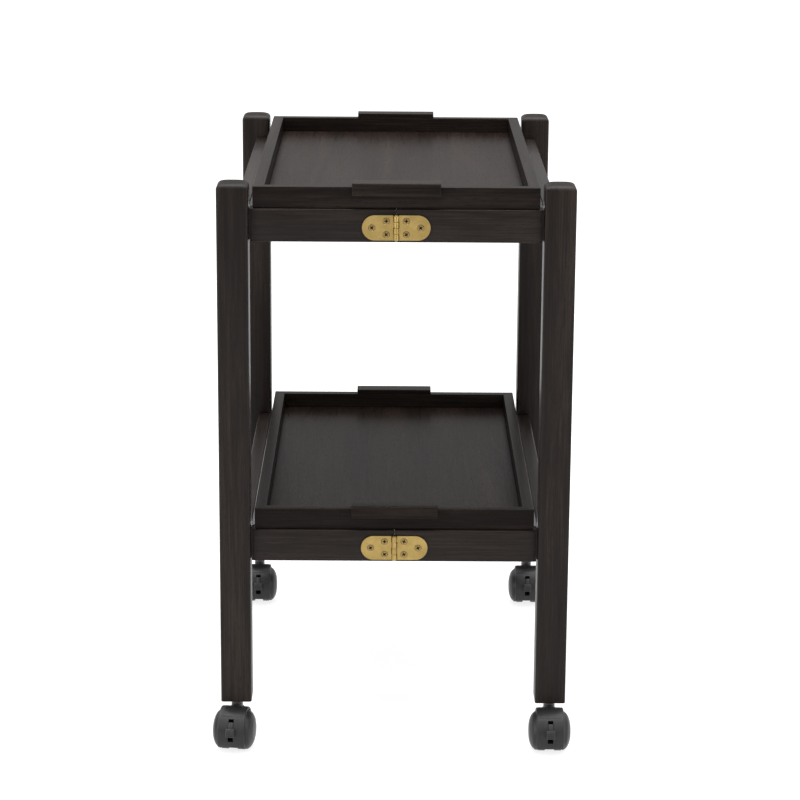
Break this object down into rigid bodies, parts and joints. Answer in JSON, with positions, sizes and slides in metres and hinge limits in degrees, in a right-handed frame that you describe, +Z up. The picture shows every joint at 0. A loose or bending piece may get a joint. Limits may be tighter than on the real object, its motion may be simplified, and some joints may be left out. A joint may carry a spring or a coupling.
{
  "type": "bar cart",
  "caption": "Folding bar cart with two lift-out gallery trays, side frames joined by hinged stretchers, and braked twin-wheel casters.",
  "frame": {"origin": "on the floor, under the centre of the whole cart's bounding box", "axes": "+Z up; -Y towards the front end, where the brake levers point; +X to the right of someone facing the front end"},
  "size_m": [0.448, 0.6426, 0.7171],
  "materials": {
    "stained_wood": "black-brown stained hardwood under a satin lacquer, fine straight grain",
    "brass": "lightly brushed lacquered brass",
    "blackened_steel": "blackened steel on the end hinges, which stand hidden between the bars and the legs",
    "caster_plastic": "moulded dark grey nylon",
    "wheel_plastic": "moulded dark grey nylon wheels with a fine turned texture"
  },
  "bodies": {
    "left_side_frame": {"front_left_leg": "stained_wood", "rear_left_leg": "stained_wood", "upper_left_rail": "stained_wood", "lower_left_rail": "stained_wood", "front_upper_left_leg_leaf": "blackened_steel", "front_lower_left_leg_leaf": "blackened_steel", "rear_upper_left_leg_leaf": "blackened_steel", "rear_lower_left_leg_leaf": "blackened_steel"},
    "right_side_frame": {"front_right_leg": "stained_wood", "rear_right_leg": "stained_wood", "upper_right_rail": "stained_wood", "lower_right_rail": "stained_wood", "front_upper_right_leg_leaf": "blackened_steel", "front_lower_right_leg_leaf": "blackened_steel", "rear_upper_right_leg_leaf": "blackened_steel", "rear_lower_right_leg_leaf": "blackened_steel"},
    "front_upper_left_half": {"front_upper_left_bar": "stained_wood", "front_upper_left_centre_leaf": "brass", "front_upper_left_bar_leaf": "blackened_steel"},
    "front_upper_right_half": {"front_upper_right_bar": "stained_wood", "front_upper_right_centre_leaf": "brass", "front_upper_right_bar_leaf": "blackened_steel"},
    "front_lower_left_half": {"front_lower_left_bar": "stained_wood", "front_lower_left_centre_leaf": "brass", "front_lower_left_bar_leaf": "blackened_steel"},
    "front_lower_right_half": {"front_lower_right_bar": "stained_wood", "front_lower_right_centre_leaf": "brass", "front_lower_right_bar_leaf": "blackened_steel"},
    "rear_upper_left_half": {"rear_upper_left_bar": "stained_wood", "rear_upper_left_centre_leaf": "brass", "rear_upper_left_bar_leaf": "blackened_steel"},
    "rear_upper_right_half": {"rear_upper_right_bar": "stained_wood", "rear_upper_right_centre_leaf": "brass", "rear_upper_right_bar_leaf": "blackened_steel"},
    "rear_lower_left_half": {"rear_lower_left_bar": "stained_wood", "rear_lower_left_centre_leaf": "brass", "rear_lower_left_bar_leaf": "blackened_steel"},
    "rear_lower_right_half": {"rear_lower_right_bar": "stained_wood", "rear_lower_right_centre_leaf": "brass", "rear_lower_right_bar_leaf": "blackened_steel"},
    "upper_tray": {"upper_tray_frame": "stained_wood", "upper_tray_panel": "stained_wood", "upper_tray_front_handle": "stained_wood", "upper_tray_rear_handle": "stained_wood"},
    "lower_tray": {"lower_tray_frame": "stained_wood", "lower_tray_panel": "stained_wood", "lower_tray_front_handle": "stained_wood", "lower_tray_rear_handle": "stained_wood"},
    "front_left_caster": {"front_left_caster_hood": "caster_plastic"},
    "front_left_wheels": {"front_left_caster_wheels": "wheel_plastic"},
    "front_left_brake": {"front_left_brake_lever": "caster_plastic"},
    "rear_left_caster": {"rear_left_caster_hood": "caster_plastic"},
    "rear_left_wheels": {"rear_left_caster_wheels": "wheel_plastic"},
    "rear_left_brake": {"rear_left_brake_lever": "caster_plastic"},
    "front_right_caster": {"front_right_caster_hood": "caster_plastic"},
    "front_right_wheels": {"front_right_caster_wheels": "wheel_plastic"},
    "front_right_brake": {"front_right_brake_lever": "caster_plastic"},
    "rear_right_caster": {"rear_right_caster_hood": "caster_plastic"},
    "rear_right_wheels": {"rear_right_caster_wheels": "wheel_plastic"},
    "rear_right_brake": {"rear_right_brake_lever": "caster_plastic"}
  },
  "joints": [
    {"name": "fold", "type": "hinge", "parent": "left_side_frame", "child": "front_upper_left_half", "pos_m": [-0.1722, -0.25932, 0.6645], "axis": [0, 0, 1], "range_deg": [0, 20]},
    {"name": "front_upper_middle_hinge", "type": "hinge", "parent": "front_upper_left_half", "child": "front_upper_right_half", "pos_m": [0.0015, -0.28432, 0.6625], "axis": [0, 0, 1], "range_deg": [-40, 0]},
    {"name": "right_side_hinge", "type": "hinge", "parent": "front_upper_right_half", "child": "right_side_frame", "pos_m": [0.1752, -0.25932, 0.6645], "axis": [0, 0, 1], "range_deg": [0, 20]},
    {"name": "front_lower_left_hinge", "type": "hinge", "parent": "left_side_frame", "child": "front_lower_left_half", "pos_m": [-0.1722, -0.25932, 0.264], "axis": [0, 0, 1], "range_deg": [0, 20]},
    {"name": "front_lower_middle_hinge", "type": "hinge", "parent": "front_lower_left_half", "child": "front_lower_right_half", "pos_m": [0.0015, -0.28432, 0.262], "axis": [0, 0, 1], "range_deg": [-40, 0]},
    {"name": "rear_upper_left_hinge", "type": "hinge", "parent": "left_side_frame", "child": "rear_upper_left_half", "pos_m": [-0.1722, 0.29188, 0.6645], "axis": [0, 0, 1], "range_deg": [-20, 0]},
    {"name": "rear_upper_middle_hinge", "type": "hinge", "parent": "rear_upper_left_half", "child": "rear_upper_right_half", "pos_m": [0.0015, 0.31688, 0.6625], "axis": [0, 0, 1], "range_deg": [0, 40]},
    {"name": "rear_lower_left_hinge", "type": "hinge", "parent": "left_side_frame", "child": "rear_lower_left_half", "pos_m": [-0.1722, 0.29188, 0.264], "axis": [0, 0, 1], "range_deg": [-20, 0]},
    {"name": "rear_lower_middle_hinge", "type": "hinge", "parent": "rear_lower_left_half", "child": "rear_lower_right_half", "pos_m": [0.0015, 0.31688, 0.262], "axis": [0, 0, 1], "range_deg": [0, 40]},
    {"name": "upper_tray_lift", "type": "slide", "parent": "left_side_frame", "child": "upper_tray", "axis": [0, 0, 1], "range_m": [0, 0.3]},
    {"name": "lower_tray_draw", "type": "slide", "parent": "left_side_frame", "child": "lower_tray", "axis": [0, -1, 0], "range_m": [0, 0.6]},
    {"name": "front_left_swivel", "type": "hinge", "parent": "left_side_frame", "child": "front_left_caster", "pos_m": [-0.1945, -0.26972, 0.057], "axis": [0, 0, 1], "continuous": true},
    {"name": "front_left_roll", "type": "hinge", "parent": "front_left_caster", "child": "front_left_wheels", "pos_m": [-0.19701, -0.28754, 0.025], "axis": [0.9903, -0.1392, 0], "continuous": true},
    {"name": "front_left_brake_press", "type": "hinge", "parent": "front_left_caster", "child": "front_left_brake", "pos_m": [-0.19701, -0.28754, 0.025], "axis": [0.9903, -0.1392, 0], "range_deg": [0, 15]},
    {"name": "rear_left_swivel", "type": "hinge", "parent": "left_side_frame", "child": "rear_left_caster", "pos_m": [-0.1945, 0.30228, 0.057], "axis": [0, 0, 1], "continuous": true},
    {"name": "rear_left_roll", "type": "hinge", "parent": "rear_left_caster", "child": "rear_left_wheels", "pos_m": [-0.1945, 0.28428, 0.025], "axis": [1, 0, 0], "continuous": true},
    {"name": "rear_left_brake_press", "type": "hinge", "parent": "rear_left_caster", "child": "rear_left_brake", "pos_m": [-0.1945, 0.28428, 0.025], "axis": [1, 0, 0], "range_deg": [0, 15]},
    {"name": "front_right_swivel", "type": "hinge", "parent": "right_side_frame", "child": "front_right_caster", "pos_m": [0.1975, -0.26972, 0.057], "axis": [0, 0, 1], "continuous": true},
    {"name": "front_right_roll", "type": "hinge", "parent": "front_right_caster", "child": "front_right_wheels", "pos_m": [0.1975, -0.28772, 0.025], "axis": [1, 0, 0], "continuous": true},
    {"name": "front_right_brake_press", "type": "hinge", "parent": "front_right_caster", "child": "front_right_brake", "pos_m": [0.1975, -0.28772, 0.025], "axis": [1, 0, 0], "range_deg": [0, 15]},
    {"name": "rear_right_swivel", "type": "hinge", "parent": "right_side_frame", "child": "rear_right_caster", "pos_m": [0.1975, 0.30228, 0.057], "axis": [0, 0, 1], "continuous": true},
    {"name": "rear_right_roll", "type": "hinge", "parent": "rear_right_caster", "child": "rear_right_wheels", "pos_m": [0.1975, 0.28428, 0.025], "axis": [1, 0, 0], "continuous": true},
    {"name": "rear_right_brake_press", "type": "hinge", "parent": "rear_right_caster", "child": "rear_right_brake", "pos_m": [0.1975, 0.28428, 0.025], "axis": [1, 0, 0], "range_deg": [0, 15]}
  ],
  "couplings": [
    {"joint": "front_upper_middle_hinge", "follows": "fold", "ratio": -2},
    {"joint": "right_side_hinge", "follows": "fold", "ratio": 1},
    {"joint": "front_lower_left_hinge", "follows": "fold", "ratio": 1},
    {"joint": "front_lower_middle_hinge", "follows": "fold", "ratio": -2},
    {"joint": "rear_upper_left_hinge", "follows": "fold", "ratio": -1},
    {"joint": "rear_upper_middle_hinge", "follows": "fold", "ratio": 2},
    {"joint": "rear_lower_left_hinge", "follows": "fold", "ratio": -1},
    {"joint": "rear_lower_middle_hinge", "follows": "fold", "ratio": 2}
  ]
}
